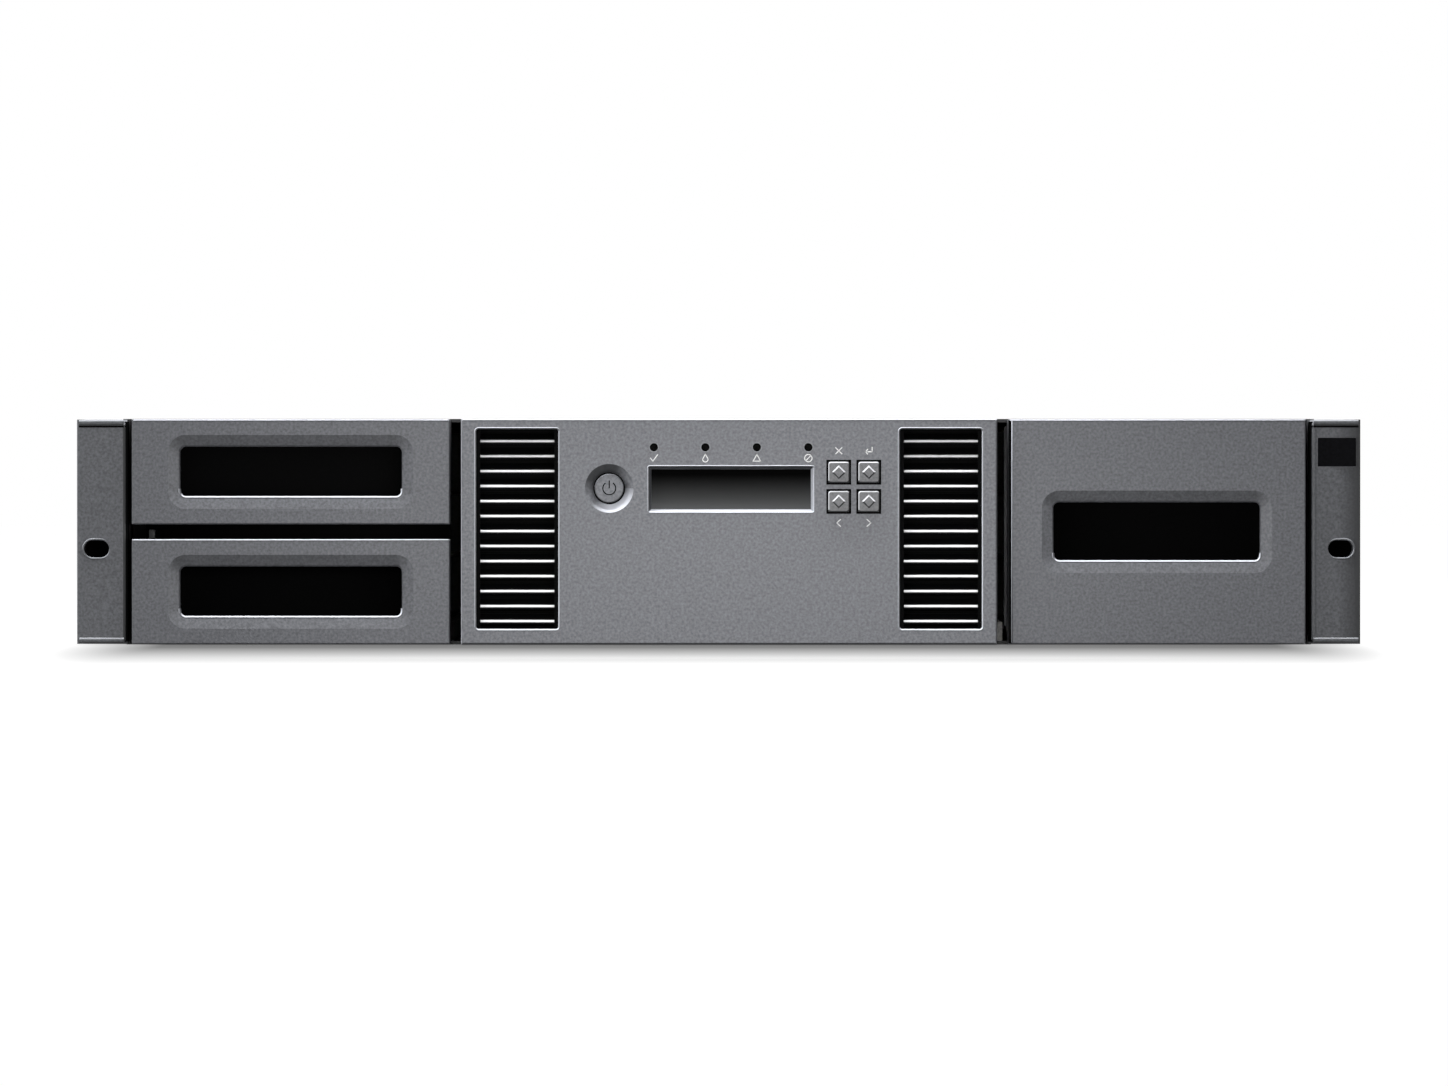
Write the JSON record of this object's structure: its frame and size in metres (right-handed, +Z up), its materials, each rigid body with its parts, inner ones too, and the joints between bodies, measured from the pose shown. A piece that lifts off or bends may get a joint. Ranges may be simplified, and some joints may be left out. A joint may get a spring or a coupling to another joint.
{
  "type": "data tape library",
  "caption": "Low rack-mount tape library: grey front with grip openings, vent grilles, display and keys; pull-out magazines, mail slot, cartridge robot and drive inside.",
  "frame": {"origin": "middle of the overall box, at the underside of the chassis floor", "axes": "+X to the right of a person facing the front, +Y from the front to the rear, +Z up"},
  "size_m": [0.48, 0.81, 0.0846],
  "materials": {
    "body_metal": "satin black powder coat",
    "inner_metal": "zinc-plated steel sheet",
    "tray_metal": "zinc-plated steel sheet",
    "drive_metal": "bare folded steel",
    "motor_metal": "dark anodised can",
    "steel": "ground steel",
    "fastener": "nickel plate",
    "fascia_plastic": "dark grey moulded plastic, fine grain",
    "panel_plastic": "dark grey moulded plastic, fine grain",
    "ear_plastic": "dark grey moulded plastic, fine grain",
    "key_plastic": "light grey moulded plastic",
    "badge_black": "gloss black",
    "grille_black": "black plastic with worn bright edges",
    "pocket_black": "black plastic",
    "display_glass": "smoked acrylic",
    "display_black": "black",
    "lamp_clear": "clear light pipe over an unlit lamp",
    "circuit_board": "green solder mask",
    "cell_plastic": "charcoal plastic",
    "rail_plastic": "acetal",
    "runner_plastic": "acetal",
    "gear_plastic": "natural acetal",
    "inlet_black": "black",
    "fan_black": "black"
  },
  "bodies": {
    "library": {"badge_plate": "badge_black", "bay_shelf": "inner_metal", "chassis_pan": "body_metal", "control_board": "circuit_board", "controller_card": "circuit_board", "cover_screws": "fastener", "display_lens": "display_glass", "display_module": "display_black", "fan_frame": "fan_black", "front_bulkhead": "inner_metal", "front_fascia": "fascia_plastic", "left_ear_bracket": "inner_metal", "left_ear_cap": "ear_plastic", "left_vent_grille": "grille_black", "magazine_runners": "runner_plastic", "power_inlet": "inlet_black", "power_supply": "drive_metal", "rear_panel": "body_metal", "right_ear_bracket": "inner_metal", "right_ear_cap": "ear_plastic", "right_vent_grille": "grille_black", "robot_rails": "rail_plastic", "status_lamps": "lamp_clear", "top_cover": "body_metal"},
    "left_magazine": {"left_magazine_tray": "tray_metal", "left_magazine_panel": "panel_plastic", "left_magazine_grip": "pocket_black", "left_cell_block_1": "cell_plastic", "left_cell_block_2": "cell_plastic", "left_cell_block_3": "cell_plastic", "left_cell_block_4": "cell_plastic"},
    "right_magazine": {"right_magazine_tray": "tray_metal", "right_magazine_panel": "panel_plastic", "right_magazine_grip": "pocket_black", "right_cell_block_1": "cell_plastic", "right_cell_block_2": "cell_plastic", "right_cell_block_3": "cell_plastic", "right_cell_block_4": "cell_plastic"},
    "mail_slot": {"mail_slot_tray": "cell_plastic", "mail_slot_panel": "panel_plastic", "mail_slot_grip": "pocket_black"},
    "power_button": {"power_button": "fascia_plastic"},
    "cancel_key": {"cancel_key": "key_plastic"},
    "enter_key": {"enter_key": "key_plastic"},
    "previous_key": {"previous_key": "key_plastic"},
    "next_key": {"next_key": "key_plastic"},
    "robot": {"robot_sled": "inner_metal", "robot_motors": "motor_metal", "lift_frame": "steel"},
    "pinion": {"travel_pinion": "gear_plastic"},
    "left_screw": {"left_lead_screw": "steel"},
    "right_screw": {"right_lead_screw": "steel"},
    "lift": {"lift_platform": "rail_plastic"},
    "carriage": {"cartridge_carriage": "cell_plastic"},
    "stage": {"gripper_stage": "gear_plastic"},
    "gripper": {"cartridge_gripper": "gear_plastic"},
    "drive": {"tape_drive": "drive_metal", "drive_carrier": "body_metal", "drive_thumbscrews": "fastener"},
    "fan": {"fan_rotor": "fan_black"}
  },
  "joints": [
    {"name": "left_magazine_pull", "type": "slide", "parent": "library", "child": "left_magazine", "axis": [0, -1, 0], "range_m": [0, 0.44]},
    {"name": "right_magazine_pull", "type": "slide", "parent": "library", "child": "right_magazine", "axis": [0, -1, 0], "range_m": [0, 0.44]},
    {"name": "mail_slot_pull", "type": "slide", "parent": "left_magazine", "child": "mail_slot", "axis": [0, -1, 0], "range_m": [0, 0.115]},
    {"name": "power_button_press", "type": "slide", "parent": "library", "child": "power_button", "axis": [0, 1, 0], "range_m": [0, 0.0008], "stiffness_N_per_m": 600, "springref_m": -0.0005},
    {"name": "cancel_key_press", "type": "slide", "parent": "library", "child": "cancel_key", "axis": [0, 1, 0], "range_m": [0, 0.0008], "stiffness_N_per_m": 600, "springref_m": -0.0005},
    {"name": "enter_key_press", "type": "slide", "parent": "library", "child": "enter_key", "axis": [0, 1, 0], "range_m": [0, 0.0008], "stiffness_N_per_m": 600, "springref_m": -0.0005},
    {"name": "previous_key_press", "type": "slide", "parent": "library", "child": "previous_key", "axis": [0, 1, 0], "range_m": [0, 0.0008], "stiffness_N_per_m": 600, "springref_m": -0.0005},
    {"name": "next_key_press", "type": "slide", "parent": "library", "child": "next_key", "axis": [0, 1, 0], "range_m": [0, 0.0008], "stiffness_N_per_m": 600, "springref_m": -0.0005},
    {"name": "robot_travel", "type": "slide", "parent": "library", "child": "robot", "axis": [0, 1, 0], "range_m": [-0.22, 0.138]},
    {"name": "pinion_turn", "type": "hinge", "parent": "robot", "child": "pinion", "pos_m": [0.0932, 0.0001, 0.0035], "axis": [0, 0, 1], "range_deg": [-879.53, 1401.56]},
    {"name": "lift_rise", "type": "slide", "parent": "robot", "child": "lift", "axis": [0, 0, 1], "range_m": [0, 0.049]},
    {"name": "left_screw_turn", "type": "hinge", "parent": "robot", "child": "left_screw", "pos_m": [-0.08855, -0.1464, 0.0015], "axis": [0, 0, 1], "range_deg": [0, 2206]},
    {"name": "right_screw_turn", "type": "hinge", "parent": "robot", "child": "right_screw", "pos_m": [0.09145, -0.0194, 0.0015], "axis": [0, 0, 1], "range_deg": [0, 2206]},
    {"name": "carriage_turn", "type": "hinge", "parent": "lift", "child": "carriage", "pos_m": [0.00145, -0.0829, 0.0033], "axis": [0, 0, 1], "range_deg": [-90, 90]},
    {"name": "gripper_reach", "type": "slide", "parent": "carriage", "child": "stage", "axis": [0, 1, 0], "range_m": [0, 0.07]},
    {"name": "gripper_run", "type": "slide", "parent": "stage", "child": "gripper", "axis": [0, 1, 0], "range_m": [0, 0.05]},
    {"name": "drive_removal", "type": "slide", "parent": "library", "child": "drive", "axis": [0, 1, 0], "range_m": [0, 0.25]},
    {"name": "fan_spin", "type": "hinge", "parent": "library", "child": "fan", "pos_m": [0.16928, 0.3788, 0.0423], "axis": [0, 1, 0], "continuous": true}
  ],
  "couplings": [
    {"joint": "pinion_turn", "follows": "robot_travel", "rad_per_m": -111.11},
    {"joint": "left_screw_turn", "follows": "lift_rise", "rad_per_m": 785.4},
    {"joint": "right_screw_turn", "follows": "lift_rise", "rad_per_m": 785.4},
    {"joint": "gripper_run", "follows": "gripper_reach", "ratio": 0.71428}
  ]
}
